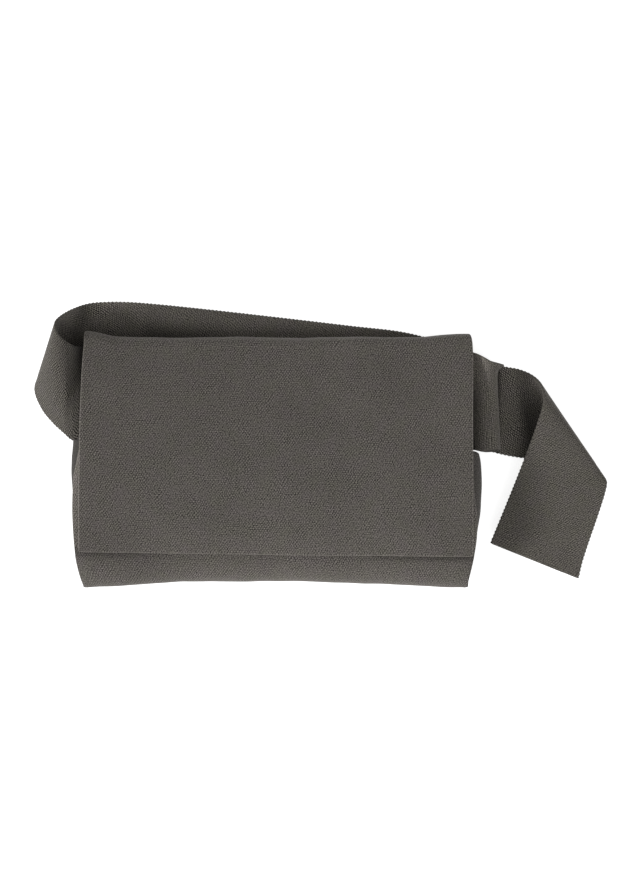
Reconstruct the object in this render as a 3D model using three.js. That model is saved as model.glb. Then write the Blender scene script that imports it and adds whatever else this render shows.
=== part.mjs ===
// A cloth flap bag lying on its back, with a wide tape strap laid under it.
// Millimetres. X runs across the bag, Y towards its top, Z up from the surface that it lies on.

import * as THREE from 'three';

const { lerp, smoothstep } = THREE.MathUtils;

// Cloth
const CLOTH = 2;
const TAPE = 2;
const FLAP_CLEARANCE = 0.6;
const HEM_GAP = { amount: 2.4, from: -30, to: -78 };
const SEAM_GAP = 0.4;

// Body
const PANEL_HALF_WIDTH = 155.5;
const FLAP_HALF_WIDTH = 158.5;
const PILLOW_POWER = 2.6;
const FRONT_TOP_Y = 80;
const SEAM_Y = -75;
const HEM = { y: -75.9, tilt: -0.0125 };

// Height of the flap's outer face above the surface, along the middle and along the two sides
const COVER = [
  { y: -80, middle: 45.5, side: 39.5 },
  { y: -55, middle: 48.5, side: 42 },
  { y: -20, middle: 48, side: 41.5 },
  { y: 20, middle: 44.8, side: 39.2 },
  { y: 60, middle: 39.8, side: 35.8 },
  { y: 88, middle: 35.2, side: 32.6 },
  { y: 106, middle: 34, side: 31.6 },
];

// Where the flap's two side edges run
const FLAP_EDGES = [
  { y: -80, left: -158, right: 159 },
  { y: 30, left: -157.5, right: 159 },
  { y: 70, left: -156.6, right: 159.4 },
  { y: 92, left: -155.6, right: 159.6 },
  { y: 106, left: -154.2, right: 159 },
];

// Where the front panel's two side edges run: below the strap they swell out past the flap
const FRONT_EDGES = [
  { y: -105, left: -157, right: 156 },
  { y: -92, left: -159.8, right: 158 },
  { y: -77, left: -162.2, right: 160.6 },
  { y: -62, left: -163.2, right: 162.8 },
  { y: -50, left: -163.4, right: 163.4 },
  { y: -32, left: -163.6, right: 161 },
  { y: -18, left: -163.4, right: 159.6 },
  { y: 0, left: -159.8, right: 158.2 },
  { y: 14, left: -157.4, right: 157 },
  { y: 80, left: -156, right: 157 },
];
const EDGE_DROOP = { start: 148, reach: 16, amount: 4 };

// Rounded top: the fold stands out further at the two corners than in the middle
const TOP_FOLD = { y: 99.6, depth: 11, squareness: 3 };
const LEFT_EAR = { rise: 5.2, from: -126, to: -154 };
const RIGHT_EAR = { rise: 3.2, from: 108, to: 158 };

// Rounded bottom: a full round in the middle, pinched to a low point at the two corners
const BOTTOM = { startY: -78, centre: 0.41, cornerPower: 5, sagPower: 2 };
const BOTTOM_MIDDLE = { reachY: -98.7, tipHeight: 23, squareness: 2.3 };
const BOTTOM_CORNER = { reachY: -104.9, tipHeight: 13, squareness: 1.4 };

// The back panel lies on the surface and climbs over the strap, whose lower edge follows this line
const STRAP_LIFT = 3;
const LIFT_RAMP = { start: 24, end: 5 };
const LIFT_LINE = [
  { x: -156, y: 60 },
  { x: 102, y: 29 },
  { x: 156, y: 13 },
];

// How far each side wall bulges out between its two seams
const GUSSET_FOOT = 154;
const GUSSET_INSET = 2.5;
const GUSSET_CLEARANCE = { panels: 2.4, bottom: 3.6 };
const GUSSET_PLUMPNESS = 0.8;
const GUSSET_LOWNESS = 0.7;
const GUSSET_BULGE = [
  { y: -94, left: 2, right: 2 },
  { y: -77, left: 4, right: 4.5 },
  { y: -55, left: 5.5, right: 6.8 },
  { y: -37, left: 6.8, right: 10.2 },
  { y: -18, left: 8.6, right: 12.2 },
  { y: -6, left: 10.2, right: 12 },
  { y: 4.2, left: 10.6, right: 10.6 },
  { y: 7.9, left: 10.6, right: 1 },
  { y: 13.5, left: 10.4, right: 1 },
  { y: 17.5, left: 1, right: 1 },
  { y: 52, left: 1, right: 1 },
  { y: 88, left: 1, right: 1 },
];

// Strap sections from the left gusset to the cut end: the upper edge a, the lower edge b, how much the
// middle is bowed up, and how quickly the height falls from a to b (1 is an even slope)
const STRAP_SECTIONS = [
  { a: [-158, 91.5, 12], b: [-157.6, 17, 29], bow: 0, fall: 3.5 },
  { a: [-159.8, 92.2, 18], b: [-160.5, 16.4, 28.8], bow: 0, fall: 3.5 },
  { a: [-163, 92.3, 28], b: [-164.5, 15.6, 27.5], bow: 1, fall: 2 },
  { a: [-168, 95, 38.5], b: [-171.9, 21.1, 22.5], bow: 2, fall: 1 },
  { a: [-173.6, 101, 42], b: [-182.4, 30.1, 16], bow: 3, fall: 1 },
  { a: [-176, 106.8, 42], b: [-192.4, 41.7, 9.5], bow: 3, fall: 1 },
  { a: [-176.2, 111.3, 39], b: [-198.8, 57, 4.8], bow: 1, fall: 1 },
  { a: [-172.8, 116.7, 31], b: [-196.5, 65, 1.8], bow: -1, fall: 1.2 },
  { a: [-163.9, 123.4, 20], b: [-183, 64, 1], bow: -1, fall: 1.8 },
  { a: [-151.5, 128.6, 8.5], b: [-164, 61, 1], bow: 0, fall: 3 },
  { a: [-129, 130, 3.2], b: [-141, 57, 1], bow: 0, fall: 3 },
  { a: [-104.5, 128.8, 1], b: [-113, 52.9, 1], bow: 0, fall: 1 },
  { a: [60, 110.6, 1], b: [51.6, 34.7, 1], bow: 0, fall: 1 },
  { a: [110, 104.2, 1], b: [102, 29, 1], bow: 0, fall: 1 },
  { a: [160, 89, 1], b: [153, 14, 1], bow: 0, fall: 1 },
  { a: [187, 77.2, 1], b: [186, 4, 1], bow: 0, fall: 1 },
  { a: [199, 74.9, 1.6], b: [215, -1, 1], bow: 0, fall: 1 },
  { a: [207.5, 71.6, 4.2], b: [248, -8.7, 1], bow: 0, fall: 1.5 },
  { a: [213.8, 66.2, 8.6], b: [266, -12.8, 2], bow: 0, fall: 1.2 },
  { a: [216.8, 60.4, 15], b: [270.8, -16.2, 4.4], bow: 0, fall: 1 },
  { a: [217.6, 54.3, 19.5], b: [272, -20, 6.8], bow: 1, fall: 1 },
  { a: [217.3, 46.9, 22], b: [270.5, -28, 7.2], bow: 1, fall: 1.2 },
  { a: [212.7, 30.4, 22], b: [265.2, -46, 5.4], bow: 1, fall: 1.5 },
  { a: [203.4, 3, 17], b: [257.7, -69, 3], bow: 0.6, fall: 1.8 },
  { a: [190.3, -31.8, 12.5], b: [252.8, -85, 1.4], bow: 0, fall: 2 },
  { a: [175.4, -69.2, 9], b: [249.7, -98.3, 1], bow: 0, fall: 2.2 },
];

// Loop sections round its bend, from the front layer's root to the back layer's: place, height, edges,
// and how far the open top end flares out and is lifted
const LOOP_SECTIONS = [
  { topX: 157.2, bottomX: 157.2, height: 13, topY: 88.6, bottomY: 8.6, flare: 0, lift: 0 },
  { topX: 162.5, bottomX: 162.5, height: 19.5, topY: 86.8, bottomY: 7.4, flare: 0, lift: 3 },
  { topX: 168.5, bottomX: 169, height: 24, topY: 83.2, bottomY: 6.8, flare: 0, lift: 6 },
  { topX: 173.4, bottomX: 175.5, height: 24.3, topY: 80.2, bottomY: 7.6, flare: 0, lift: 7 },
  { topX: 177.6, bottomX: 180.6, height: 21.5, topY: 78.4, bottomY: 8.4, flare: 4, lift: 6 },
  { topX: 179, bottomX: 182.6, height: 16.5, topY: 77.6, bottomY: 8.2, flare: 8.7, lift: 3 },
  { topX: 177.4, bottomX: 180.6, height: 11.5, topY: 78.2, bottomY: 6.8, flare: 8, lift: 0 },
  { topX: 171, bottomX: 172, height: 8.6, topY: 80.8, bottomY: 5.8, flare: 2.5, lift: 0 },
  { topX: 157.2, bottomX: 157.2, height: 7.6, topY: 86.5, bottomY: 9, flare: 0, lift: 0 },
];
const LOOP_FLARE_POWER = 28;
const LOOP_LIFT_POWER = 5;

// How finely each piece is divided
const STEPS = { across: 26, flap: 14, fold: 12, back: 12, front: 10, bottom: 12 };
const GUSSET_STEPS = { perRow: 3, across: 6 };
const TAPE_STEPS = { perSection: 3, across: 7, loop: 2 };

const clothMaterial = new THREE.MeshStandardMaterial({ color: '#57534f', roughness: 0.9, metalness: 0 });
const tapeMaterial = new THREE.MeshStandardMaterial({ color: '#55514d', roughness: 0.88, metalness: 0 });

// Value of one column of a table at a place along another, by a smooth curve that doesn't overshoot
function lookUp(table, key, column, place) {
  const slopeAfter = (row) => {
    const rise = table[row + 1][column] - table[row][column];
    return rise / (table[row + 1][key] - table[row][key]);
  };
  const slopeAt = (row) => {
    if (row === 0) return slopeAfter(0);
    if (row === table.length - 1) return slopeAfter(row - 1);
    const before = slopeAfter(row - 1);
    const after = slopeAfter(row);
    return before * after > 0 ? (2 * before * after) / (before + after) : 0;
  };
  let row = 0;
  while (row < table.length - 2 && place > table[row + 1][key]) row += 1;
  const width = table[row + 1][key] - table[row][key];
  const t = THREE.MathUtils.clamp((place - table[row][key]) / width, 0, 1);
  const start = (1 + 2 * t) * (1 - t) ** 2 * table[row][column] + t * (1 - t) ** 2 * width * slopeAt(row);
  const end = t ** 2 * (3 - 2 * t) * table[row + 1][column] + t ** 2 * (t - 1) * width * slopeAt(row + 1);
  return start + end;
}

// Value of one column of a table at a share of the way along its rows, by straight lines
function columnAt(table, column, share) {
  const place = share * (table.length - 1);
  const row = Math.min(Math.floor(place), table.length - 2);
  return lerp(table[row][column], table[row + 1][column], place - row);
}

// Closed wall of even thickness around a grid of points on its middle surface
function wallAround(grid, thickness) {
  const rows = grid.length;
  const columns = grid[0].length;
  const normalAt = (row, column) => {
    const along = new THREE.Vector3().subVectors(
      grid[Math.min(row + 1, rows - 1)][column],
      grid[Math.max(row - 1, 0)][column],
    );
    const across = new THREE.Vector3().subVectors(
      grid[row][Math.min(column + 1, columns - 1)],
      grid[row][Math.max(column - 1, 0)],
    );
    return across.cross(along).normalize();
  };
  const positions = [];
  for (const side of [1, -1]) {
    for (let row = 0; row < rows; row += 1) {
      for (let column = 0; column < columns; column += 1) {
        const point = grid[row][column].clone();
        point.addScaledVector(normalAt(row, column), (side * thickness) / 2);
        positions.push(point.x, point.y, point.z);
      }
    }
  }
  const upper = (row, column) => row * columns + column;
  const lower = (row, column) => rows * columns + upper(row, column);
  const triangles = [];
  const addQuad = (p, q, r, s) => triangles.push(p, q, r, p, r, s);
  for (let row = 0; row < rows - 1; row += 1) {
    for (let column = 0; column < columns - 1; column += 1) {
      const next = column + 1;
      addQuad(upper(row, column), upper(row, next), upper(row + 1, next), upper(row + 1, column));
      addQuad(lower(row, column), lower(row + 1, column), lower(row + 1, next), lower(row, next));
    }
  }
  const lastRow = rows - 1;
  const lastColumn = columns - 1;
  for (let column = 0; column < lastColumn; column += 1) {
    addQuad(upper(0, column), lower(0, column), lower(0, column + 1), upper(0, column + 1));
    addQuad(
      upper(lastRow, column),
      upper(lastRow, column + 1),
      lower(lastRow, column + 1),
      lower(lastRow, column),
    );
  }
  for (let row = 0; row < lastRow; row += 1) {
    addQuad(upper(row, 0), upper(row + 1, 0), lower(row + 1, 0), lower(row, 0));
    addQuad(
      upper(row, lastColumn),
      lower(row, lastColumn),
      lower(row + 1, lastColumn),
      upper(row + 1, lastColumn),
    );
  }
  const geometry = new THREE.BufferGeometry();
  geometry.setAttribute('position', new THREE.Float32BufferAttribute(positions, 3));
  geometry.setIndex(triangles);
  geometry.computeVertexNormals();
  return geometry;
}

// Points between 0 and 1 at even steps, both ends included
function evenSteps(count) {
  return Array.from({ length: count + 1 }, (_, step) => step / count);
}

// Power of a size that keeps its sign
function signedPower(value, power) {
  return Math.sign(value) * Math.abs(value) ** power;
}

// Height of the flap's outer face
function coverHeight(x, y) {
  const middle = lookUp(COVER, 'y', 'middle', y);
  const side = lookUp(COVER, 'y', 'side', y);
  const across = Math.min(Math.abs(x) / FLAP_HALF_WIDTH, 1);
  return side + (middle - side) * (1 - across ** PILLOW_POWER);
}

// Edge of a cloth at one place along it, between its left edge at 0 and its right edge at 1
function acrossEdges(table, y, place) {
  return lerp(lookUp(table, 'y', 'left', y), lookUp(table, 'y', 'right', y), place);
}

// Middle surface of the front panel under the flap
function frontHeight(x, y) {
  const outside = Math.max(Math.abs(x) - EDGE_DROOP.start, 0) / EDGE_DROOP.reach;
  const underHem = HEM_GAP.amount * (1 - smoothstep(y, HEM_GAP.to, HEM_GAP.from));
  const clearance = CLOTH + FLAP_CLEARANCE + CLOTH / 2 + underHem;
  return coverHeight(x, y) - clearance - EDGE_DROOP.amount * outside ** 2;
}

// Middle surface of the back panel
function backHeight(x, y) {
  const strapEdge = lookUp(LIFT_LINE, 'x', 'y', x);
  const climb = smoothstep(y, strapEdge - LIFT_RAMP.start, strapEdge - LIFT_RAMP.end);
  return STRAP_LIFT * climb + CLOTH / 2;
}

// Where the rounded top reaches furthest
function topEdge(x) {
  const left = LEFT_EAR.rise * (1 - smoothstep(x, LEFT_EAR.to, LEFT_EAR.from));
  const right = RIGHT_EAR.rise * smoothstep(x, RIGHT_EAR.from, RIGHT_EAR.to);
  return TOP_FOLD.y + left + right;
}

// Rounded bottom at one place across the bag, 0 at the left edge and 1 at the right
function bottomShape(place) {
  const reach = place < BOTTOM.centre ? BOTTOM.centre : 1 - BOTTOM.centre;
  const across = Math.abs(place - BOTTOM.centre) / reach;
  const corner = across ** BOTTOM.cornerPower;
  const reachY = lerp(BOTTOM_MIDDLE.reachY, BOTTOM_CORNER.reachY, across ** BOTTOM.sagPower);
  const tipHeight = lerp(BOTTOM_MIDDLE.tipHeight, BOTTOM_CORNER.tipHeight, corner);
  const frontX = acrossEdges(FRONT_EDGES, BOTTOM.startY, place);
  return {
    depth: BOTTOM.startY - reachY - CLOTH / 2,
    tipHeight,
    frontRise: frontHeight(frontX, BOTTOM.startY) - tipHeight,
    backDrop: tipHeight - CLOTH / 2,
    squareness: lerp(BOTTOM_MIDDLE.squareness, BOTTOM_CORNER.squareness, corner),
  };
}

// Back panel, rounded top and flap as one cloth, from the hem of the flap to the bottom seam
function makeBackFlap() {
  const foldStart = (x) => topEdge(x) - TOP_FOLD.depth;
  const across = evenSteps(STEPS.across);
  const grid = [];
  for (const share of evenSteps(STEPS.flap)) {
    const rowY = lerp(HEM.y, TOP_FOLD.y, share);
    grid.push(across.map((place) => {
      const x = acrossEdges(FLAP_EDGES, rowY, place);
      const y = lerp(HEM.y + HEM.tilt * x, foldStart(x), share);
      return new THREE.Vector3(x, y, coverHeight(x, y) - CLOTH / 2);
    }));
  }
  for (const share of evenSteps(STEPS.fold).slice(1)) {
    const angle = lerp(Math.PI / 2, -Math.PI / 2, share);
    const outward = signedPower(Math.cos(angle), 2 / TOP_FOLD.squareness);
    const upward = signedPower(Math.sin(angle), 2 / TOP_FOLD.squareness);
    grid.push(across.map((place) => {
      const panelX = lerp(-PANEL_HALF_WIDTH, PANEL_HALF_WIDTH, place);
      const x = lerp(acrossEdges(FLAP_EDGES, TOP_FOLD.y, place), panelX, share);
      const high = coverHeight(x, foldStart(x)) - CLOTH / 2;
      const low = backHeight(x, foldStart(x));
      const y = foldStart(x) + (TOP_FOLD.depth - CLOTH / 2) * outward;
      return new THREE.Vector3(x, y, lerp(low, high, (1 + upward) / 2));
    }));
  }
  for (const share of evenSteps(STEPS.back).slice(1)) {
    grid.push(across.map((place) => {
      const x = lerp(-PANEL_HALF_WIDTH, PANEL_HALF_WIDTH, place);
      const y = lerp(foldStart(x), SEAM_Y + SEAM_GAP / 2, share);
      return new THREE.Vector3(x, y, backHeight(x, y));
    }));
  }
  return wallAround(grid, CLOTH);
}

// Front panel from its free top edge, round the bottom, to the seam with the back panel
function makeFrontPanel() {
  const across = evenSteps(STEPS.across);
  const acrossPanel = (place) => lerp(-PANEL_HALF_WIDTH, PANEL_HALF_WIDTH, place);
  const grid = [];
  for (const share of evenSteps(STEPS.front)) {
    const y = lerp(FRONT_TOP_Y, BOTTOM.startY, share);
    grid.push(across.map((place) => {
      const x = acrossEdges(FRONT_EDGES, y, place);
      return new THREE.Vector3(x, y, frontHeight(x, y));
    }));
  }
  for (const share of evenSteps(STEPS.bottom).slice(1)) {
    const angle = lerp(Math.PI / 2, -Math.PI / 2, share);
    grid.push(across.map((place) => {
      const shape = bottomShape(place);
      const outward = signedPower(Math.cos(angle), 2 / shape.squareness);
      const upward = signedPower(Math.sin(angle), 2 / shape.squareness);
      const y = BOTTOM.startY - shape.depth * outward;
      const x = upward > 0 ? acrossEdges(FRONT_EDGES, y, place) : acrossPanel(place);
      const z = shape.tipHeight + (upward > 0 ? shape.frontRise : shape.backDrop) * upward;
      return new THREE.Vector3(x, y, z);
    }));
  }
  grid.push(across.map((place) => new THREE.Vector3(acrossPanel(place), SEAM_Y - SEAM_GAP / 2, CLOTH / 2)));
  return wallAround(grid, CLOTH);
}

// Foot and head of a side wall's middle surface, just inside the edges of the two panels
function gussetSpan(side, y) {
  const place = side < 0 ? 0 : 1;
  const headX = Math.abs(acrossEdges(FRONT_EDGES, y, place)) - GUSSET_INSET;
  if (y > BOTTOM.startY) {
    return {
      foot: new THREE.Vector2(GUSSET_FOOT, backHeight(side * GUSSET_FOOT, y) + GUSSET_CLEARANCE.panels),
      head: new THREE.Vector2(headX, frontHeight(side * headX, y) - GUSSET_CLEARANCE.panels),
    };
  }
  const shape = bottomShape(place);
  const outward = (BOTTOM.startY - y) / shape.depth;
  const upward = (1 - outward ** shape.squareness) ** (1 / shape.squareness);
  const low = shape.tipHeight - shape.backDrop * upward + GUSSET_CLEARANCE.panels;
  const high = shape.tipHeight + shape.frontRise * upward - GUSSET_CLEARANCE.bottom;
  return { foot: new THREE.Vector2(GUSSET_FOOT, low), head: new THREE.Vector2(headX, high) };
}

// Side wall on one side, -1 for the left and 1 for the right
function makeGusset(side) {
  const rowsBetween = GUSSET_BULGE.length - 1;
  const grid = evenSteps(rowsBetween * GUSSET_STEPS.perRow).map((share) => {
    const y = columnAt(GUSSET_BULGE, 'y', share);
    const span = gussetSpan(side, y);
    const bulge = lookUp(GUSSET_BULGE, 'y', side < 0 ? 'left' : 'right', y);
    return evenSteps(GUSSET_STEPS.across).map((place) => {
      const point = new THREE.Vector2().lerpVectors(span.foot, span.head, place);
      const outward = bulge * Math.sin(Math.PI * place ** GUSSET_LOWNESS) ** GUSSET_PLUMPNESS;
      return new THREE.Vector3(side * (point.x + outward), y, point.y);
    });
  });
  if (side > 0) grid.reverse();
  return wallAround(grid, CLOTH);
}

// Strap as one tape through its sections
function makeStrap() {
  const curveOf = (edge) => new THREE.CatmullRomCurve3(
    STRAP_SECTIONS.map((section) => new THREE.Vector3(...section[edge])),
  );
  const upperEdge = curveOf('a');
  const lowerEdge = curveOf('b');
  const grid = evenSteps((STRAP_SECTIONS.length - 1) * TAPE_STEPS.perSection).map((share) => {
    const a = upperEdge.getPoint(share);
    const b = lowerEdge.getPoint(share);
    const bow = columnAt(STRAP_SECTIONS, 'bow', share);
    const fall = columnAt(STRAP_SECTIONS, 'fall', share);
    return evenSteps(TAPE_STEPS.across).map((place) => {
      const point = new THREE.Vector3().lerpVectors(a, b, place);
      const height = b.z + (a.z - b.z) * (1 - place) ** fall + bow * Math.sin(Math.PI * place);
      point.z = Math.max(height, TAPE / 2);
      return point;
    });
  });
  return wallAround(grid, TAPE);
}

// Doubled loop of tape on the right side wall
function makeLoop() {
  const curveOf = (xColumn, yColumn) => new THREE.CatmullRomCurve3(
    LOOP_SECTIONS.map((section) => new THREE.Vector3(section[xColumn], section[yColumn], section.height)),
  );
  const upperEdge = curveOf('topX', 'topY');
  const lowerEdge = curveOf('bottomX', 'bottomY');
  const grid = evenSteps((LOOP_SECTIONS.length - 1) * TAPE_STEPS.loop).map((share) => {
    const a = upperEdge.getPoint(share);
    const b = lowerEdge.getPoint(share);
    const flare = columnAt(LOOP_SECTIONS, 'flare', share);
    const lift = columnAt(LOOP_SECTIONS, 'lift', share);
    return evenSteps(TAPE_STEPS.across).map((place) => {
      const point = new THREE.Vector3().lerpVectors(a, b, place);
      point.x += flare * (1 - place) ** LOOP_FLARE_POWER;
      point.z += lift * (1 - place) ** LOOP_LIFT_POWER;
      return point;
    });
  });
  return wallAround(grid, TAPE);
}

function addPiece(group, name, geometry, material) {
  const mesh = new THREE.Mesh(geometry, material);
  mesh.name = name;
  group.add(mesh);
}

const bag = new THREE.Group();
addPiece(bag, 'back_flap', makeBackFlap(), clothMaterial);
addPiece(bag, 'front_panel', makeFrontPanel(), clothMaterial);
addPiece(bag, 'gusset_left', makeGusset(-1), clothMaterial);
addPiece(bag, 'gusset_right', makeGusset(1), clothMaterial);
addPiece(bag, 'strap', makeStrap(), tapeMaterial);
addPiece(bag, 'strap_loop', makeLoop(), tapeMaterial);

export default bag;
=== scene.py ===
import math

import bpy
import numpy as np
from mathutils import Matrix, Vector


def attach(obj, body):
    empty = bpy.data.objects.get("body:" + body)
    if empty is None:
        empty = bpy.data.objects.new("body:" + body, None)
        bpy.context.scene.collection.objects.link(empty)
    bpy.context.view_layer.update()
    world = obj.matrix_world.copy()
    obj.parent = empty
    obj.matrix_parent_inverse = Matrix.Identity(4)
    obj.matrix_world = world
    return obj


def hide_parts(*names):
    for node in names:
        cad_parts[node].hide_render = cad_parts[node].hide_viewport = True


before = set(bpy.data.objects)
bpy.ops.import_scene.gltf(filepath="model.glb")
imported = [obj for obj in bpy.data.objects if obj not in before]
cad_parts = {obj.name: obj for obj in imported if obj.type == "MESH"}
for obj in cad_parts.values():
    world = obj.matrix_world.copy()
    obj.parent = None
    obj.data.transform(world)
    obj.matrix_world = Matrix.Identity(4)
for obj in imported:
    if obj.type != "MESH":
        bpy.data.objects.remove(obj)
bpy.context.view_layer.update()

# A cloth flap bag lying on its back, with a wide tape strap laid under it, dressed around the packed
# frame. Sizes are in millimetres and are brought to metres as each mesh is made. X runs across the
# bag, Y towards its top and Z up from the surface that it lies on.

MM = 0.001


def table(columns, *rows):
    """Rows of numbers as named columns."""
    return dict(zip(columns.split(), np.array(rows, float).T))


# Cloth
CLOTH = 2
TAPE = 2
FLAP_CLEARANCE = 0.6
HEM_GAP = {"amount": 2.4, "start": -30, "end": -78}
SEAM_GAP = 0.4

# Body
PANEL_HALF_WIDTH = 155.5
FLAP_HALF_WIDTH = 158.5
PILLOW_POWER = 2.6
FRONT_TOP_Y = 80
SEAM_Y = -75
HEM_Y = -75.9
HEM_TILT = -0.0125

# Height of the flap's outer face above the surface, along the middle and along the two sides
COVER = table(
    "y middle side",
    (-80, 45.5, 39.5),
    (-55, 48.5, 42),
    (-20, 48, 41.5),
    (20, 44.8, 39.2),
    (60, 39.8, 35.8),
    (88, 35.2, 32.6),
    (106, 34, 31.6),
)

# Where the flap's two side edges run
FLAP_EDGES = table(
    "y left right",
    (-80, -158, 159),
    (30, -157.5, 159),
    (70, -156.6, 159.4),
    (92, -155.6, 159.6),
    (106, -154.2, 159),
)

# Where the front panel's two side edges run: below the strap they swell out past the flap
FRONT_EDGES = table(
    "y left right",
    (-105, -157, 156),
    (-92, -159.8, 158),
    (-77, -162.2, 160.6),
    (-62, -163.2, 162.8),
    (-50, -163.4, 163.4),
    (-32, -163.6, 161),
    (-18, -163.4, 159.6),
    (0, -159.8, 158.2),
    (14, -157.4, 157),
    (80, -156, 157),
)
EDGE_DROOP_START = 148
EDGE_DROOP_REACH = 16
EDGE_DROOP = 4

# Rounded top: the fold stands out further at the two corners than in the middle
TOP_FOLD_Y = 99.6
TOP_FOLD_DEPTH = 11
TOP_FOLD_SQUARENESS = 3
LEFT_EAR = {"rise": 5.2, "start": -126, "end": -154}
RIGHT_EAR = {"rise": 3.2, "start": 108, "end": 158}

# Rounded bottom: a full round in the middle, pinched to a low point at the two corners
BOTTOM_START_Y = -78
BOTTOM_CENTRE = 0.41
BOTTOM_CORNER_POWER = 5
BOTTOM_SAG_POWER = 2
BOTTOM_MIDDLE = {"reach_y": -98.7, "tip_height": 23, "squareness": 2.3}
BOTTOM_CORNER = {"reach_y": -104.9, "tip_height": 13, "squareness": 1.4}

# The back panel lies on the surface and climbs over the strap, whose lower edge follows this line
STRAP_LIFT = 3
LIFT_RAMP_START = 24
LIFT_RAMP_END = 5
LIFT_LINE = table("x y", (-156, 60), (102, 29), (156, 13))

# How far each side wall bulges out between its two seams
GUSSET_FOOT = 154
GUSSET_INSET = 2.5
GUSSET_BOTTOM_Y = -103.4
GUSSET_TOP_Y = 88
GUSSET_CLEARANCE = 1.4
GUSSET_CLEARANCE_SHARE = 0.25
GUSSET_PLUMPNESS = 0.8
GUSSET_LOWNESS = 0.7
GUSSET_BULGE = table(
    "y left right",
    (-94, 2, 2),
    (-77, 4, 4.5),
    (-55, 5.5, 6.8),
    (-37, 6.8, 10.2),
    (-18, 8.6, 12.2),
    (-6, 10.2, 12),
    (5, 10.9, 10.6),
    (8.4, 10.9, 1),
    (17.5, 10.6, 1),
    (22, 1, 1),
    (88, 1, 1),
)

# Strap sections from the left gusset to the cut end: the upper edge a, the lower edge b, how much the
# middle is bowed up, and how quickly the height falls from a to b (1 is an even slope)
STRAP = table(
    "ax ay az bx by bz bow fall",
    (-158, 91.5, 12, -157.6, 17, 29, 0, 3.5),
    (-159.8, 92.2, 18, -160.5, 16.4, 28.8, 0, 3.5),
    (-163, 92.3, 28, -164.5, 15.6, 27.5, 1, 2),
    (-168, 95, 38.5, -171.9, 21.1, 22.5, 2, 1),
    (-173.6, 101, 42, -182.4, 30.1, 16, 3, 1),
    (-176, 106.8, 42, -192.4, 41.7, 9.5, 3, 1),
    (-176.2, 111.3, 39, -198.8, 57, 4.8, 1, 1),
    (-172.8, 116.7, 31, -196.5, 65, 1.8, -1, 1.2),
    (-163.9, 123.4, 20, -183, 64, 1, -1, 1.8),
    (-151.5, 128.6, 8.5, -164, 61, 1, 0, 3),
    (-129, 130, 3.2, -141, 57, 1, 0, 3),
    (-104.5, 128.8, 1, -113, 52.9, 1, 0, 1),
    (60, 110.6, 1, 51.6, 34.7, 1, 0, 1),
    (110, 104.2, 1, 102, 29, 1, 0, 1),
    (160, 89, 1, 153, 14, 1, 0, 1),
    (187, 77.2, 1, 186, 4, 1, 0, 1),
    (199, 74.9, 1.6, 215, -1, 1, 0, 1),
    (207.5, 71.6, 4.2, 248, -8.7, 1, 0, 1.5),
    (213.8, 66.2, 8.6, 266, -12.8, 2, 0, 1.2),
    (216.8, 60.4, 15, 270.8, -16.2, 4.4, 0, 1),
    (217.6, 54.3, 19.5, 272, -20, 6.8, 1, 1),
    (217.3, 46.9, 22, 270.5, -28, 7.2, 1, 1.2),
    (212.7, 30.4, 22, 265.2, -46, 5.4, 1, 1.5),
    (203.4, 3, 17, 257.7, -69, 3, 0.6, 1.8),
    (190.3, -31.8, 12.5, 252.8, -85, 1.4, 0, 2),
    (175.4, -69.2, 9, 249.7, -98.3, 1, 0, 2.2),
)
STRAP_WIDTH = 76

# Teeth of the tape's two woven edges, and the thinner band along its lower edge
TOOTH_PITCH = 3.2
TOOTH_DEPTH = 0.6
SELVEDGE_WIDTH = 12
SELVEDGE_RAMP = 2
SELVEDGE_THINNER = 0.35

# Loop sections round its bend, from the front layer's root to the back layer's, and how far the open top
# end flares out and up
LOOP = table(
    "top_x bottom_x height top_y bottom_y flare lift",
    (157.2, 157.2, 13, 88.6, 8.6, 0, 0),
    (162.5, 162.5, 19.5, 86.8, 7.4, 0, 3),
    (168.5, 169, 24, 83.2, 6.8, 0, 6),
    (173.4, 175.5, 24.3, 80.2, 7.6, 0, 7),
    (177.6, 180.6, 21.5, 78.4, 8.4, 4, 6),
    (179, 182.6, 16.5, 77.6, 8.2, 8.7, 3),
    (177.4, 180.6, 11.5, 78.2, 6.8, 8, 0),
    (171, 172, 8.6, 80.8, 5.8, 2.5, 0),
    (157.2, 157.2, 7.6, 86.5, 9, 0, 0),
)
LOOP_FLARE_POWER = 28
LOOP_LIFT_POWER = 5

# Soft unevenness of a cloth: wavelength, direction in degrees, phase in degrees and height of each wave
RIPPLES = table(
    "wavelength direction phase height",
    (83, 20, 40, 0.30),
    (61, 118, 210, 0.22),
    (47, 75, 95, 0.16),
    (29, 150, 320, 0.09),
    (19, 35, 180, 0.05),
)

# How much paler or darker the bag's cloth is painted, at the left, in the middle and at the right of the
# bag,
# as painted light and shade: palest at the bottom, darkest at the top
PAINTED_SHADING = table(
    "y left middle right",
    (-104, 0.9, 1.25, 1.05),
    (-85, 0.92, 1.21, 1.07),
    (-40, 1, 1.07, 1.09),
    (20, 0.97, 0.99, 1.04),
    (106, 0.84, 0.97, 0.97),
)
PAINTED_SHADING_REACH = 150

# Painted shade on the front panel along the flap's hem, and a painted highlight along its own two rolled
# edges
HEM_SHADE = table(
    "x share",
    (-160, 0.34),
    (-130, 0.33),
    (-90, 0.12),
    (-60, 0),
    (60, 0),
    (95, 0.27),
    (160, 0.31),
)
HEM_SHADE_REACH = (1.5, 6)
ROLLED_EDGE_HIGHLIGHT = table(
    "y left right",
    (-77, 1, 1.4),
    (-70, 1.05, 1.5),
    (-50, 1.2, 1.25),
    (-20, 1.5, 1),
    (15, 1.9, 1),
)
ROLLED_EDGE_HIGHLIGHT_START = (155.5, 159)
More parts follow.
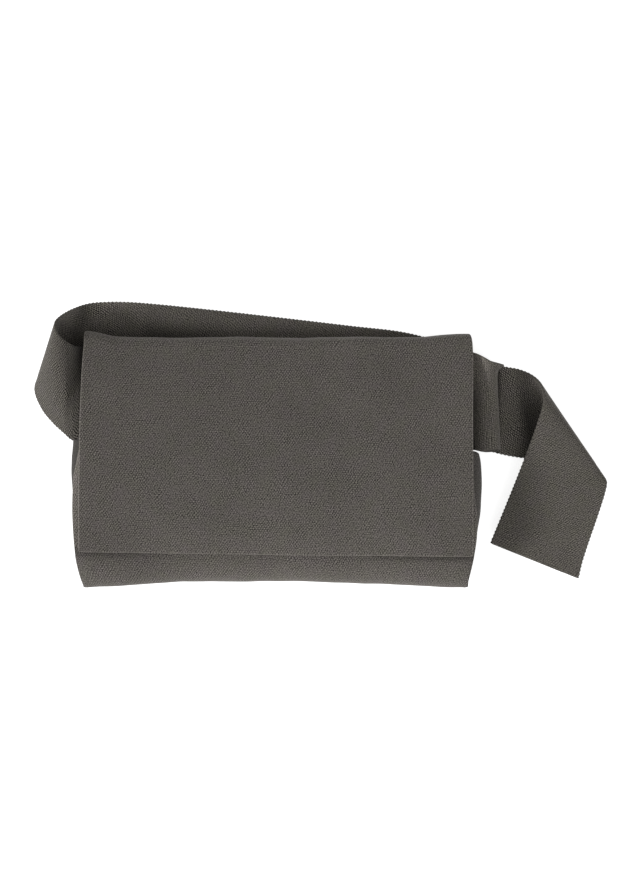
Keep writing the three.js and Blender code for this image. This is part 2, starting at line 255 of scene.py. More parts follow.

# Painted light and shade. The side walls are darkened as painted shade, and the loop's front layer has a
# painted highlight at the top of its root and painted shade at its foot. The strap, along its two edges,
# has painted shade where it turns in beside the flap, where it goes under the bag, under the loop's bend,
# under its own folded end and on the left side of its free end, and painted highlights round its turn at
# the left, brightest along its upper edge, and where it comes out beside the loop
GUSSET_SHADE = {"gusset_left": 0.35, "gusset_right": 0.6}
LOOP_LIGHT_AND_SHADE = table(
    "row top bottom",
    (0, 3.2, 0.35),
    (1, 3.1, 0.95),
    (2, 1.6, 1.15),
    (3, 1.15, 1.15),
    (8, 1.2, 1.2),
)
STRAP_LIGHT_AND_SHADE = table(
    "row a b",
    (0, 0.6, 0.6),
    (2, 0.66, 0.66),
    (3, 0.82, 0.82),
    (6, 0.86, 0.86),
    (7.6, 1.25, 1.25),
    (8.5, 0.84, 0.8),
    (9.4, 1.85, 0.48),
    (10.1, 1.6, 0.4),
    (10.8, 1.42, 0.4),
    (11.1, 1.08, 0.15),
    (11.3, 0.98, 0.35),
    (11.6, 1, 1),
    (14.6, 1, 1),
    (14.84, 0.5, 0.5),
    (15, 1.25, 1.25),
    (15.5, 1.25, 1.1),
    (16, 1.05, 0.42),
    (17, 0.9, 0.4),
    (18, 0.9, 0.9),
    (22, 1.07, 0.98),
    (23.3, 0.78, 1),
    (25, 0.92, 1.02),
)
LIGHT_AND_SHADE_REACH = 0.55

# How much the weave is worn away, from 0 to 1: most behind the bag, at the free end and on the loop
STRAP_SMOOTHNESS = table(
    "row share",
    (0, 0),
    (9, 0),
    (11, 0.45),
    (12.5, 0.6),
    (14, 0.15),
    (17, 0.15),
    (19, 0.5),
    (25, 0.6),
)
LOOP_SMOOTHNESS = 0.6

# Where the strap turns at the left its sections lie at a slant to its edges, and its weave is sheared
# back by this much to run along them
STRAP_SLANT = table("row slant", (0, 0.54), (8, 0.54), (12, 0), (25, 0))

# Tone of the cut or folded edge of a cloth beside that of its face: on the bag a painted highlight,
# partly the paler yarn of a folded edge, and on the tape painted shade
RIM_LIGHT_AND_SHADE = {"hem": 1.28, "flap_left": 1.75, "flap_right": 2.1, "front": 1.3, "tape": 0.8}

# The cloth has no ripples below the first of these heights and has them in full above the other
LYING_HEIGHT = (4, 14)

# How finely the pieces are meshed
RIM_STEPS = 5
CURVE_STEPS = 4000
ROWS_PER_TOOTH = 7
LOOP_ROW_STEP = 0.8
TAPE_COLUMN_STEP = 2.6
TAPE_EDGE_COLUMNS = (1.2, 3.2)

# The two cloths: their two mixed colours, the size of a grain of the weave, the strength of the waves
# that make it and the depth of its relief
BODY_CANVAS = {
    "warm": (0.0799, 0.0709, 0.0668),
    "olive": (0.0771, 0.0720, 0.0610),
    "grain_width": 2.12,
    "row_height": 1.58,
    "rising": 0.31,
    "falling": 0.21,
    "level": 0.21,
    "depth": 0.35,
}
TAPE_CANVAS = {
    "warm": (0.0768, 0.0690, 0.0632),
    "olive": (0.0748, 0.0697, 0.0576),
    "grain_width": 1.9,
    "row_height": 1.62,
    "rising": 0.25,
    "falling": 0.72,
    "level": 0.58,
    "depth": 0.16,
}

# How far the weave wanders, for each size of patch, and the sizes of the cloth's other patches
WANDER = {25: 4, 9: 2, 3: 1.3}
PATCH_SIZE = {"weave": 14, "fleck": 1.05, "cloud": 45, "hue": 13}

# Share of the weave that is left where it is worn away or runs over an edge
CALMEST = 0.15

# Floor: a white sheet in metres, just under the bag, that glows a little so that it stays white
FLOOR_REACH = 100
FLOOR_LEVEL = -0.0003
FLOOR_GREY = 0.6
FLOOR_GLOW = 0.77

# Even light from all round
SKY_STRENGTH = 0.64

# Camera: straight above the bag, at the distance and over the point that the photograph shows
CAMERA_PLACE = (35.95, 9.5, 1400)
VIEW_HEIGHT = 740.5
SENSOR = 36


def lerp(a, b, place):
    return a + (b - a) * place


def smoothstep(value, low, high):
    t = np.clip((value - low) / (high - low), 0, 1)
    return t * t * (3 - 2 * t)


def signed_power(value, power):
    return np.sign(value) * np.abs(value) ** power


def unit(vectors):
    length = np.linalg.norm(vectors, axis=-1, keepdims=True)
    return vectors / np.maximum(length, 1e-9)


def look_up(rows, key, column, place):
    """Value of a column at a place along the key, by a smooth curve that doesn't overshoot."""
    keys, values = rows[key], rows[column]
    widths = np.diff(keys)
    rises = np.diff(values) / widths
    before, after = rises[:-1], rises[1:]
    both = np.where(before * after > 0, before + after, 1)
    inner = np.where(before * after > 0, 2 * before * after / both, 0)
    slopes = np.concatenate([rises[:1], inner, rises[-1:]])
    row = np.clip(np.searchsorted(keys, place) - 1, 0, len(keys) - 2)
    width = widths[row]
    t = np.clip((place - keys[row]) / width, 0, 1)
    start = (1 + 2 * t) * (1 - t) ** 2 * values[row] + t * (1 - t) ** 2 * width * slopes[row]
    end = t**2 * (3 - 2 * t) * values[row + 1] + t**2 * (t - 1) * width * slopes[row + 1]
    return start + end


def edge_curve(rows, columns, place):
    """Points on the smooth curve through three columns of a table, at places counted in rows."""
    points = np.stack([rows[column] for column in columns.split()], -1)
    before = 2 * points[0] - points[1]
    after = 2 * points[-1] - points[-2]
    points = np.concatenate([[before], points, [after]])
    row = np.clip(np.floor(place).astype(int), 0, len(points) - 4)
    t = (place - row)[:, None]
    p0, p1, p2, p3 = (points[row + step] for step in range(4))
    pairs = ((p0, p1), (p1, p2), (p2, p3))
    gaps = [np.sqrt(np.linalg.norm(far - near, axis=-1, keepdims=True)) for near, far in pairs]
    start = ((p1 - p0) / gaps[0] - (p2 - p0) / (gaps[0] + gaps[1]) + (p2 - p1) / gaps[1]) * gaps[1]
    end = ((p2 - p1) / gaps[1] - (p3 - p1) / (gaps[1] + gaps[2]) + (p3 - p2) / gaps[2]) * gaps[1]
    bend = 2 * p1 - 2 * p2 + start + end
    turn = 3 * p2 - 3 * p1 - 2 * start - end
    return p1 + start * t + turn * t**2 + bend * t**3


def cover_height(x, y):
    """Height of the flap's outer face."""
    middle = look_up(COVER, "y", "middle", y)
    side = look_up(COVER, "y", "side", y)
    across = np.minimum(np.abs(x) / FLAP_HALF_WIDTH, 1)
    return side + (middle - side) * (1 - across**PILLOW_POWER)


def across_edges(edges, y, place):
    """Place across a cloth, 0 at its left edge and 1 at its right."""
    return lerp(look_up(edges, "y", "left", y), look_up(edges, "y", "right", y), place)


def front_height(x, y):
    """Middle surface of the front panel under the flap."""
    outside = np.maximum(np.abs(x) - EDGE_DROOP_START, 0) / EDGE_DROOP_REACH
    under_hem = HEM_GAP["amount"] * (1 - smoothstep(y, HEM_GAP["end"], HEM_GAP["start"]))
    clearance = CLOTH + FLAP_CLEARANCE + CLOTH / 2 + under_hem
    return cover_height(x, y) - clearance - EDGE_DROOP * outside**2


def back_height(x, y):
    """Middle surface of the back panel."""
    strap_edge = look_up(LIFT_LINE, "x", "y", x)
    climb = smoothstep(y, strap_edge - LIFT_RAMP_START, strap_edge - LIFT_RAMP_END)
    return STRAP_LIFT * climb + CLOTH / 2


def fold_start(x):
    """Where the flap starts to turn over the top of the bag."""
    left = LEFT_EAR["rise"] * (1 - smoothstep(x, LEFT_EAR["end"], LEFT_EAR["start"]))
    right = RIGHT_EAR["rise"] * smoothstep(x, RIGHT_EAR["start"], RIGHT_EAR["end"])
    return TOP_FOLD_Y + left + right - TOP_FOLD_DEPTH


def bottom_shape(place):
    """Rounded bottom at one place across the bag, 0 at the left edge and 1 at the right."""
    side = np.where(place < BOTTOM_CENTRE, BOTTOM_CENTRE, 1 - BOTTOM_CENTRE)
    across = np.abs(place - BOTTOM_CENTRE) / side
    corner = across**BOTTOM_CORNER_POWER
    reach_y = lerp(BOTTOM_MIDDLE["reach_y"], BOTTOM_CORNER["reach_y"], across**BOTTOM_SAG_POWER)
    tip = lerp(BOTTOM_MIDDLE["tip_height"], BOTTOM_CORNER["tip_height"], corner)
    front_x = across_edges(FRONT_EDGES, np.full_like(place, BOTTOM_START_Y), place)
    return {
        "depth": BOTTOM_START_Y - reach_y - CLOTH / 2,
        "tip": tip,
        "front_rise": front_height(front_x, np.full_like(place, BOTTOM_START_Y)) - tip,
        "back_drop": tip - CLOTH / 2,
        "squareness": lerp(BOTTOM_MIDDLE["squareness"], BOTTOM_CORNER["squareness"], corner),
    }


def points(x, y, z):
    return np.stack(np.broadcast_arrays(x, y, z), -1)


def even_places(count, length, inset):
    """Places between 0 and 1 that leave room for the round of an edge at both ends."""
    return np.linspace(inset / length, 1 - inset / length, count + 1)


def back_flap_grid(across=150, flap=84, fold=36, back=84):
    """Back panel, rounded top and flap as one cloth, from the hem of the flap to the bottom seam."""
    place = even_places(across, 2 * FLAP_HALF_WIDTH, CLOTH / 2)[None, :]
    share = even_places(flap, TOP_FOLD_Y - HEM_Y, CLOTH / 2)[:, None]
    x = across_edges(FLAP_EDGES, lerp(HEM_Y, TOP_FOLD_Y, share), place)
    y = lerp(HEM_Y + HEM_TILT * x, fold_start(x), share)
    flap_part = points(x, y, cover_height(x, y) - CLOTH / 2)
    share = np.linspace(0, 1, fold + 1)[1:, None]
    angle = lerp(math.pi / 2, -math.pi / 2, share)
    outward = signed_power(np.cos(angle), 2 / TOP_FOLD_SQUARENESS)
    upward = signed_power(np.sin(angle), 2 / TOP_FOLD_SQUARENESS)
    panel_x = lerp(-PANEL_HALF_WIDTH, PANEL_HALF_WIDTH, place)
    x = lerp(across_edges(FLAP_EDGES, np.array(TOP_FOLD_Y), place), panel_x, share)
    start = fold_start(x)
    high = cover_height(x, start) - CLOTH / 2
    y = start + (TOP_FOLD_DEPTH - CLOTH / 2) * outward
    fold_part = points(x, y, lerp(back_height(x, start), high, (1 + upward) / 2))
    share = np.linspace(0, 1, back + 1)[1:, None]
    y = lerp(fold_start(panel_x), SEAM_Y + SEAM_GAP / 2, share)
    back_part = points(panel_x, y, back_height(panel_x, y))
    return np.concatenate([flap_part, fold_part, back_part])


def front_panel_grid(across=150, front=60, bottom=60):
    """Front panel from its free top edge, round the bottom, to the seam with the back panel."""
    place = even_places(across, 2 * FLAP_HALF_WIDTH, CLOTH / 2)[None, :]
    y = np.linspace(FRONT_TOP_Y, BOTTOM_START_Y, front + 1)[:, None]
    x = across_edges(FRONT_EDGES, y, place)
    front_part = points(x, y, front_height(x, y))
    angle = np.linspace(math.pi / 2, -math.pi / 2, bottom + 1)[1:, None]
    shape = bottom_shape(place)
    outward = signed_power(np.cos(angle), 2 / shape["squareness"])
    upward = signed_power(np.sin(angle), 2 / shape["squareness"])
    y = BOTTOM_START_Y - shape["depth"] * outward
    panel_x = lerp(-PANEL_HALF_WIDTH, PANEL_HALF_WIDTH, place)
    x = np.where(upward > 0, across_edges(FRONT_EDGES, y, place), panel_x)
    z = shape["tip"] + np.where(upward > 0, shape["front_rise"], shape["back_drop"]) * upward
    bottom_part = points(x, y, z)
    seam = points(panel_x, SEAM_Y - SEAM_GAP / 2, np.array([[CLOTH / 2]]))
    return np.concatenate([front_part, bottom_part, seam])


def gusset_grid(side, along=170, across=24):
    """Side wall on one side, -1 for the left and 1 for the right, running out into the bottom corner."""
    y = np.linspace(GUSSET_BOTTOM_Y, GUSSET_TOP_Y, along + 1)[:, None]
    edge = np.array([[0.0 if side < 0 else 1.0]])
    head_x = np.abs(across_edges(FRONT_EDGES, y, edge)) - GUSSET_INSET
    shape = bottom_shape(edge)
    outward = np.clip((BOTTOM_START_Y - y) / shape["depth"], 0, 1)
    upward = (1 - outward ** shape["squareness"]) ** (1 / shape["squareness"])
    above = y > BOTTOM_START_Y
    corner_foot = shape["tip"] - shape["back_drop"] * upward
    corner_head = shape["tip"] + shape["front_rise"] * upward
    foot = np.where(above, back_height(side * GUSSET_FOOT, y), corner_foot)
    head = np.where(above, front_height(side * head_x, y), corner_head)
    clearance = np.minimum(GUSSET_CLEARANCE, GUSSET_CLEARANCE_SHARE * (head - foot))
    place = np.linspace(0, 1, across + 1)[None, :]
    bulge = look_up(GUSSET_BULGE, "y", "left" if side < 0 else "right", y)
    swell = np.sin(math.pi * place**GUSSET_LOWNESS).clip(0) ** GUSSET_PLUMPNESS
    x = side * (lerp(GUSSET_FOOT, head_x, place) + bulge * swell)
    grid = points(x, y, lerp(foot + clearance, head - clearance, place))
    return grid if side < 0 else grid[::-1]


def numbered(rows):
    """A table of sections with a further column that counts them."""
    count = len(next(iter(rows.values())))
    return dict(rows, row=np.arange(count, dtype=float))


def even_rows(rows, edges, spacing, inset):
    """Places along a tape, counted in sections, at an even spacing along its middle."""
    fine = np.linspace(0, numbered(rows)["row"][-1], CURVE_STEPS)
    middle = (edge_curve(rows, edges[0], fine) + edge_curve(rows, edges[1], fine)) / 2
    length = np.concatenate([[0], np.cumsum(np.linalg.norm(np.diff(middle, axis=0), axis=1))])
    count = round((length[-1] - 2 * inset) / spacing)
    along = np.linspace(inset, length[-1] - inset, count + 1)
    return np.interp(along, length, fine)


def tape_columns():
    """Places across a tape, closer together beside its two edges."""
    inset = TAPE / 2
    beside = np.array([inset, inset + TAPE_EDGE_COLUMNS[0]])
    start = inset + TAPE_EDGE_COLUMNS[1]
    count = round((STRAP_WIDTH - 2 * start) / TAPE_COLUMN_STEP) + 1
    inner = np.linspace(start, STRAP_WIDTH - start, count)
    return np.concatenate([beside, inner, STRAP_WIDTH - beside[::-1]]) / STRAP_WIDTH


def tape_lengths(grid):
    """Places along the flat tape at its two edges, both brought to the length of its middle."""
    columns = grid[:, [0, grid.shape[1] // 2, -1]]
    steps = np.linalg.norm(np.diff(columns, axis=0), axis=-1)
    a, middle, b = np.concatenate([np.zeros((1, 3)), np.cumsum(steps, axis=0)]).T
    return a * middle[-1] / a[-1], b * middle[-1] / b[-1]


def strap_grid():
    """Strap as one tape through its sections, with the small teeth of its two woven edges."""
    row = even_rows(STRAP, ("ax ay az", "bx by bz"), TOOTH_PITCH / ROWS_PER_TOOTH, TAPE / 2)
    a = edge_curve(STRAP, "ax ay az", row)[:, None]
    b = edge_curve(STRAP, "bx by bz", row)[:, None]
    rows = numbered(STRAP)
    bow = look_up(rows, "row", "bow", row)[:, None]
    fall = look_up(rows, "row", "fall", row)[:, None]
    place = tape_columns()
    grid = lerp(a, b, place[None, :, None])
    height = b[..., 2] + (a[..., 2] - b[..., 2]) * (1 - place) ** fall + bow * np.sin(math.pi * place)
    grid[..., 2] = np.maximum(height, TAPE / 2)
    along_a, along_b = tape_lengths(grid)
    for along, edge, inner in ((along_a, 0, 1), (along_b, -1, -2)):
        tooth = -TOOTH_DEPTH / 2 * np.cos(2 * math.pi * along / TOOTH_PITCH)[:, None]
        grid[:, edge] += unit(grid[:, inner] - grid[:, edge]) * tooth
    slant = look_up(STRAP_SLANT, "row", "slant", row)[:, None]
    along = lerp(along_a[:, None], along_b[:, None], place) - slant * place * STRAP_WIDTH
    # Painted light and shade along the strap's two edges, blended across the tape
    tone_a, tone_b = (look_up(STRAP_LIGHT_AND_SHADE, "row", edge, row)[:, None] for edge in "ab")
    tone = lerp(tone_a, tone_b, smoothstep(place, 0, LIGHT_AND_SHADE_REACH))
    smoothness = look_up(STRAP_SMOOTHNESS, "row", "share", row)[:, None]
    return grid, place * STRAP_WIDTH, along, tone, smoothness


def loop_grid():
    """Doubled loop of tape on the right side wall, whose open top end flares out and up."""
    row = even_rows(LOOP, ("top_x top_y height", "bottom_x bottom_y height"), LOOP_ROW_STEP, 0)
    a = edge_curve(LOOP, "top_x top_y height", row)[:, None]
    b = edge_curve(LOOP, "bottom_x bottom_y height", row)[:, None]
    rows = numbered(LOOP)
    place = tape_columns()
    grid = lerp(a, b, place[None, :, None])
    grid[..., 0] += look_up(rows, "row", "flare", row)[:, None] * (1 - place) ** LOOP_FLARE_POWER
    grid[..., 2] += look_up(rows, "row", "lift", row)[:, None] * (1 - place) ** LOOP_LIFT_POWER
    along = np.mean(tape_lengths(grid), axis=0)
    # Painted light and shade across the loop: a painted highlight at the top of its root, painted shade
    # at its foot
    top, bottom = (look_up(LOOP_LIGHT_AND_SHADE, "row", end, row)[:, None] for end in ("top", "bottom"))
    tone = lerp(top, bottom, smoothstep(place, 0, LIGHT_AND_SHADE_REACH))
    return grid, place * STRAP_WIDTH, along[:, None], tone, LOOP_SMOOTHNESS


def grid_normals(grid):
    return unit(np.cross(np.gradient(grid, axis=1), np.gradient(grid, axis=0)))


def ripple(u, v):
    """Soft unevenness at places on a cloth."""
    total = np.zeros(np.broadcast(u, v).shape)
    for length, direction, phase, height in zip(*RIPPLES.values()):
        turn = math.radians(direction)
        place = (u * math.cos(turn) + v * math.sin(turn)) / length
        total += height * np.sin(2 * math.pi * place + math.radians(phase))
    return total


def cloth_lengths(grid):
    """Mean distances across and along a grid, which are its places on the flat cloth."""
    across = np.linalg.norm(np.diff(grid, axis=1), axis=-1).mean(0)
    along = np.linalg.norm(np.diff(grid, axis=0), axis=-1).mean(1)
    return np.concatenate([[0], np.cumsum(across)]), np.concatenate([[0], np.cumsum(along)])


def painted_cloth_shading(x, y):
    """Painted light and shade of the bag's cloth at a place."""
    left, middle, right = (look_up(PAINTED_SHADING, "y", column, y) for column in ("left", "middle", "right"))
    place = np.clip(x / PAINTED_SHADING_REACH, -1, 1)
    return middle + (right - left) / 2 * place + ((left + right) / 2 - middle) * place**2


def front_tone(x, y):
    """Painted shade on the front panel along the flap's hem and a painted highlight at its rolled edges.
    """
    below_hem = HEM_Y + HEM_TILT * x - y
    painted_hem_shade = look_up(HEM_SHADE, "x", "share", x) * (1 - smoothstep(np.abs(below_hem), *HEM_SHADE_REACH))
    left, right = (look_up(ROLLED_EDGE_HIGHLIGHT, "y", side, y) for side in ("left", "right"))
    edge_highlight = np.where(x < 0, left, right)
    rolled = smoothstep(np.abs(x), *ROLLED_EDGE_HIGHLIGHT_START) * (below_hem < 0)
    return (1 - painted_hem_shade) * lerp(1, edge_highlight, rolled)


def body_tones(node, grid):
    """Painted light and shade of one piece of the bag over its grid, and the painted highlight of its
    edges beside that.
    """
    x, y = grid[..., 0], grid[..., 1]
    edge = np.ones(x.shape)
    # Side walls: painted shade
    if node in GUSSET_SHADE:
        return np.full(x.shape, GUSSET_SHADE[node]), edge
    if node == "front_panel":
        return painted_cloth_shading(x, y) * front_tone(x, y), edge * RIM_LIGHT_AND_SHADE["front"]
    edge[:, 0] = RIM_LIGHT_AND_SHADE["flap_left"]
    edge[:, -1] = RIM_LIGHT_AND_SHADE["flap_right"]
    edge[0] = RIM_LIGHT_AND_SHADE["hem"]
    return painted_cloth_shading(x, y), edge


def edge_ring(index):
    """Numbers of the points round the edge of a grid, in order."""
    return np.concatenate([index[0], index[1:, -1], index[-1, -2::-1], index[-2:0:-1, 0]])


def edge_directions(grid):
    """Directions that lead straight out of a grid at the points of its edge."""
    along, across = np.gradient(grid, axis=0), np.gradient(grid, axis=1)
    outward = np.zeros_like(grid)
    outward[0] -= unit(along[0])
    outward[-1] += unit(along[-1])
    outward[:, 0] -= unit(across[:, 0])
    outward[:, -1] += unit(across[:, -1])
    return unit(outward)


def cloth_shell(grid, thickness):
    """Points and faces of a closed cloth, and which points of the grid are at its edge.

    The points are those of its upper face, of its lower face and of each step round its edge."""
    half = np.broadcast_to(np.asarray(thickness, float) / 2, grid.shape[:2])[..., None]
    middle = grid.reshape(-1, 3)
    lift = (grid_normals(grid) * half).reshape(-1, 3)
    reach = (edge_directions(grid) * half).reshape(-1, 3)
    size = len(middle)
    index = np.arange(size).reshape(grid.shape[:2])
    ring = edge_ring(index)
    layers = [middle + lift, middle - lift]
    chain = [ring]
    for step in range(1, RIM_STEPS):
        angle = math.pi / 2 - math.pi * step / RIM_STEPS
        chain.append(2 * size + len(ring) * (step - 1) + np.arange(len(ring)))
        layers.append(middle[ring] + lift[ring] * math.sin(angle) + reach[ring] * math.cos(angle))
    chain.append(ring + size)
    corners = [index[:-1, :-1], index[:-1, 1:], index[1:, 1:], index[1:, :-1]]
    upper = np.stack(corners, -1).reshape(-1, 4)
    faces = [upper, upper[:, ::-1] + size]
    for high, low in zip(chain, chain[1:]):
        faces.append(np.stack([high, low, np.roll(low, -1), np.roll(high, -1)], -1))
    return np.concatenate(layers), np.concatenate(faces), ring


def cloth_piece(name, grid, u, v, thickness, tone, edge_tone, smoothness=0, weave_side=1):
    """Closed cloth around a grid of points on its middle surface, with a rounded edge all round.

    A weave side of -1 turns the weave round on the upper of its two faces."""
    vertices, faces, ring = cloth_shell(grid, thickness)
    values = (u, v, tone, edge_tone, smoothness)
    u, v, tone, edge_tone, smoothness = (np.broadcast_to(each, grid.shape[:2]).ravel() for each in values)
    rounds = RIM_STEPS - 1
    flat = np.stack([u, v], -1)
    flat = np.concatenate([flat * (weave_side, 1), flat] + [flat[ring]] * rounds) * MM
    attributes = {
        "edge": [smoothness, smoothness] + [np.ones(len(ring))] * rounds,
        "tone": [tone, tone] + [tone[ring] * edge_tone[ring]] * rounds,
    }
    mesh = bpy.data.meshes.new(name)
    mesh.from_pydata((vertices * MM).tolist(), [], faces.tolist())
    layer = mesh.uv_layers.new(name="cloth")
    layer.uv.foreach_set("vector", flat[faces.reshape(-1)].astype(np.float32).ravel())
    for label, layers in attributes.items():
        attribute = mesh.attributes.new(label, "FLOAT", "POINT")
        attribute.data.foreach_set("value", np.concatenate(layers).astype(np.float32))
    mesh.polygons.foreach_set("use_smooth", np.ones(len(faces), bool))
    mesh.validate()
    piece = bpy.data.objects.new(name, mesh)
    bpy.context.scene.collection.objects.link(piece)
    return piece


class Nodes:
    """Short calls for building one material's nodes."""

    def __init__(self, name):
        self.material = bpy.data.materials.new(name)
        self.material.use_nodes = True
        self.tree = self.material.node_tree
        self.shader = self.tree.nodes["Principled BSDF"]

    def add(self, kind, inputs=(), **settings):
        node = self.tree.nodes.new(kind)
        for name, value in settings.items():
            setattr(node, name, value)
        for name, value in dict(inputs).items():
            self.put(node.inputs[name], value)
        return node

    def put(self, socket, value):
        if isinstance(value, bpy.types.NodeSocket):
            self.tree.links.new(value, socket)
        else:
            socket.default_value = value

    def maths(self, operation, first, second=0.0):
        return self.add("ShaderNodeMath", {0: first, 1: second}, operation=operation).outputs[0]

    def vectors(self, operation, first, second):
        slot = "Scale" if operation == "SCALE" else 1
        node = self.add("ShaderNodeVectorMath", {0: first, slot: second}, operation=operation)
        return node.outputs[0]

    def noise(self, place, size, detail):
        """Noise whose patches are about one size across, in millimetres."""
        inputs = {"Vector": place, "Scale": 1 / (size * MM), "Detail": detail}
        return self.add("ShaderNodeTexNoise", inputs)

    def ramp(self, value, low, high, start=0.3, end=0.7):
        """Value brought from between start and end, which suit noise, to between low and high."""
        return self.add("ShaderNodeMapRange", {0: value, 1: start, 2: end, 3: low, 4: high}).outputs[0]

    def wave(self, place, height):
        turn = self.maths("MULTIPLY", place, 2 * math.pi)
        return self.maths("MULTIPLY", self.maths("COSINE", turn), height)


def canvas_material(name, canvas):
    """Heavy canvas: staggered grains of yarn, stronger along one slant, patchy and flecked."""
    nodes = Nodes(name)
    place = nodes.add("ShaderNodeUVMap", uv_map="cloth").outputs["UV"]
    drift = place
    for size, amount in WANDER.items():
        push = nodes.noise(place, size, 1.0).outputs["Color"]
        push = nodes.vectors("SUBTRACT", push, (0.5, 0.5, 0.5))
        drift = nodes.vectors("ADD", drift, nodes.vectors("SCALE", push, amount * MM))
    steps = (1 / (canvas["grain_width"] * MM), 1 / (2 * canvas["row_height"] * MM), 1)
    lattice = nodes.add("ShaderNodeMapping", {"Vector": drift, "Scale": steps}).outputs[0]
    across, along, _ = nodes.add("ShaderNodeSeparateXYZ", {0: lattice}).outputs
    rising = nodes.wave(nodes.maths("SUBTRACT", along, across), canvas["rising"])
    falling = nodes.wave(nodes.maths("ADD", along, across), canvas["falling"])
    level = nodes.wave(nodes.maths("MULTIPLY", along, 2.0), canvas["level"])
    weave = nodes.maths("ADD", nodes.maths("ADD", rising, falling), level)
    patch = nodes.ramp(nodes.noise(place, PATCH_SIZE["weave"], 2.0).outputs["Fac"], 0.5, 1.5)
    weave = nodes.maths("MULTIPLY", weave, patch)
    fleck = nodes.ramp(nodes.noise(place, PATCH_SIZE["fleck"], 1.0).outputs["Fac"], -0.6, 0.6)
    cloud = nodes.noise(place, PATCH_SIZE["cloud"], 3.0).outputs["Fac"]
    edge = nodes.add("ShaderNodeAttribute", attribute_name="edge").outputs["Fac"]
    calm = nodes.ramp(edge, 1.0, CALMEST, 0.0, 1.0)
    fleck = nodes.maths("MULTIPLY", fleck, nodes.ramp(edge, 1.0, CALMEST, 0.7, 1.0))
    relief = nodes.maths("ADD", nodes.maths("MULTIPLY", weave, calm), fleck)
    tone = nodes.maths("ADD", relief, nodes.ramp(cloud, 0.95, 1.05))
    # The tone attribute is each piece's painted light and shade, which scales the weave's tone
    light_and_shade = nodes.add("ShaderNodeAttribute", attribute_name="tone").outputs["Fac"]
    tone = nodes.maths("MULTIPLY", tone, light_and_shade)
    hue = nodes.ramp(nodes.noise(place, PATCH_SIZE["hue"], 2.0).outputs["Fac"], 0.0, 1.0)
    colours = {0: hue, 6: (*canvas["warm"], 1), 7: (*canvas["olive"], 1)}
    colour = nodes.add("ShaderNodeMix", colours, data_type="RGBA").outputs[2]
    heights = {"Height": relief, "Strength": 0.6, "Distance": canvas["depth"] * MM}
    bump = nodes.add("ShaderNodeBump", heights)
    nodes.put(nodes.shader.inputs["Base Color"], nodes.vectors("SCALE", colour, tone))
    nodes.put(nodes.shader.inputs["Roughness"], nodes.ramp(relief, 0.96, 0.84, -0.5, 0.5))
    nodes.put(nodes.shader.inputs["Normal"], bump.outputs[0])
    nodes.put(nodes.shader.inputs["Specular IOR Level"], 0.15)
    nodes.put(nodes.shader.inputs["Sheen Weight"], 0.12)
    nodes.put(nodes.shader.inputs["Sheen Roughness"], 0.45)
    nodes.put(nodes.shader.inputs["Sheen Tint"], (1.0, 0.95, 0.9, 1))
    return nodes.material


def dress(piece, node, material):
    """Puts a piece in place of its CAD node."""
    piece.data.materials.append(material)
    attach(piece, "root")
    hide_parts(node)


def make_body(material):
    grids = {
        "back_flap": back_flap_grid(),
        "front_panel": front_panel_grid(),
        "gusset_left": gusset_grid(-1),
        "gusset_right": gusset_grid(1),
    }
    for node, grid in grids.items():
        u, v = cloth_lengths(grid)
        if node == "front_panel":
            # This grid runs down the bag and the flap's runs up it, but both weaves stay the same way up
            v = -v
        lying = smoothstep(grid[..., 2], *LYING_HEIGHT)
        swell = ripple(u[None, :], v[:, None]) * lying
        grid = grid + grid_normals(grid) * swell[..., None]
        look = body_tones(node, grid)
        piece = cloth_piece(node + "_cloth", grid, u[None, :], v[:, None], CLOTH, *look)
        dress(piece, node, material)


def make_tapes(material):
    grids = {"strap": strap_grid(), "strap_loop": loop_grid()}
    for node, (grid, u, v, tone, smoothness) in grids.items():
        start = STRAP_WIDTH - SELVEDGE_WIDTH
        band = smoothstep(u, start - SELVEDGE_RAMP, start)
        thickness = TAPE - SELVEDGE_THINNER * band
        look = {"tone": tone, "edge_tone": RIM_LIGHT_AND_SHADE["tape"], "smoothness": smoothness, "weave_side": -1}
        piece = cloth_piece(node + "_tape", grid, u[None, :], v, thickness, **look)
        dress(piece, node, material)


def make_bag():
    make_body(canvas_material("body_canvas", BODY_CANVAS))
    make_tapes(canvas_material("strap_canvas", TAPE_CANVAS))


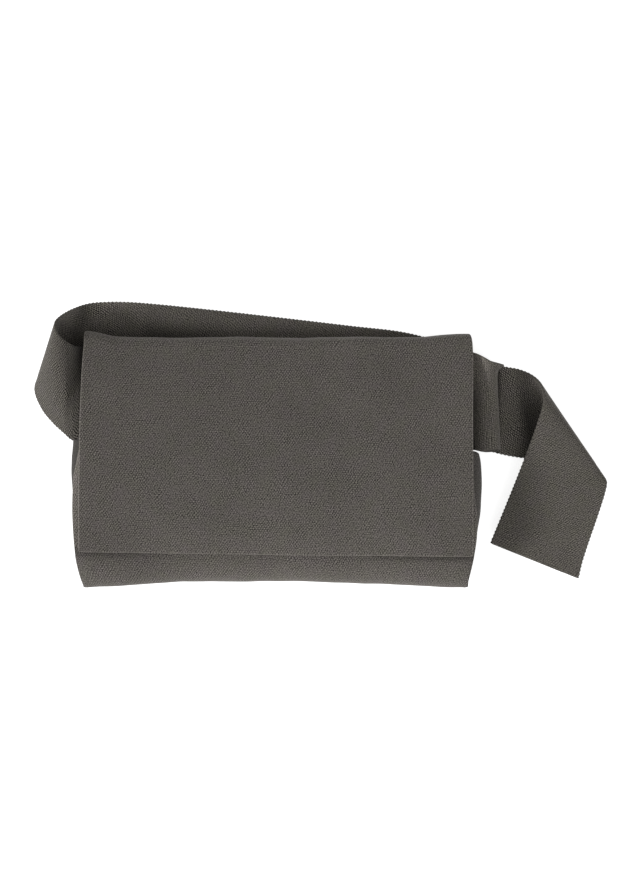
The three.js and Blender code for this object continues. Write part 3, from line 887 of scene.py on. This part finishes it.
def make_stage():
    floor_mesh = bpy.data.meshes.new("floor")
    sides = ((-1, -1), (1, -1), (1, 1), (-1, 1))
    corners = [(x * FLOOR_REACH, y * FLOOR_REACH, FLOOR_LEVEL) for x, y in sides]
    floor_mesh.from_pydata(corners, [], [(0, 1, 2, 3)])
    floor = bpy.data.objects.new("floor", floor_mesh)
    bpy.context.scene.collection.objects.link(floor)
    nodes = Nodes("floor_paper")
    nodes.put(nodes.shader.inputs["Base Color"], (FLOOR_GREY, FLOOR_GREY, FLOOR_GREY, 1))
    nodes.put(nodes.shader.inputs["Roughness"], 0.9)
    nodes.put(nodes.shader.inputs["Specular IOR Level"], 0.1)
    nodes.put(nodes.shader.inputs["Emission Color"], (1, 1, 1, 1))
    nodes.put(nodes.shader.inputs["Emission Strength"], FLOOR_GLOW)
    floor_mesh.materials.append(nodes.material)


def add_light(name, place, spread, power):
    """Soft far light that shines from a place towards the bag."""
    light = bpy.data.lights.new(name, "SUN")
    light.angle = math.radians(spread)
    light.energy = power
    lamp = bpy.data.objects.new(name, light)
    lamp.location = place
    lamp.rotation_euler = Vector(place).to_track_quat("Z", "Y").to_euler()
    bpy.context.scene.collection.objects.link(lamp)


def make_light():
    world = bpy.data.worlds.new("studio")
    world.use_nodes = True
    sky = world.node_tree.nodes["Background"]
    sky.inputs["Color"].default_value = (1, 1, 1, 1)
    sky.inputs["Strength"].default_value = SKY_STRENGTH
    bpy.context.scene.world = world
    add_light("key", place=(-1.55, -0.35, 0.92), spread=13, power=2.52)
    add_light("fill", place=(0.3, -1.6, 1.1), spread=30, power=0.84)
    bpy.context.scene.view_settings.view_transform = "Standard"


def make_camera():
    camera = bpy.data.cameras.new("camera")
    camera.sensor_width = SENSOR
    camera.lens = SENSOR * CAMERA_PLACE[2] / VIEW_HEIGHT
    eye = bpy.data.objects.new("camera", camera)
    eye.location = [size * MM for size in CAMERA_PLACE]
    bpy.context.scene.collection.objects.link(eye)
    bpy.context.scene.camera = eye


make_camera()
make_bag()
make_stage()
make_light()
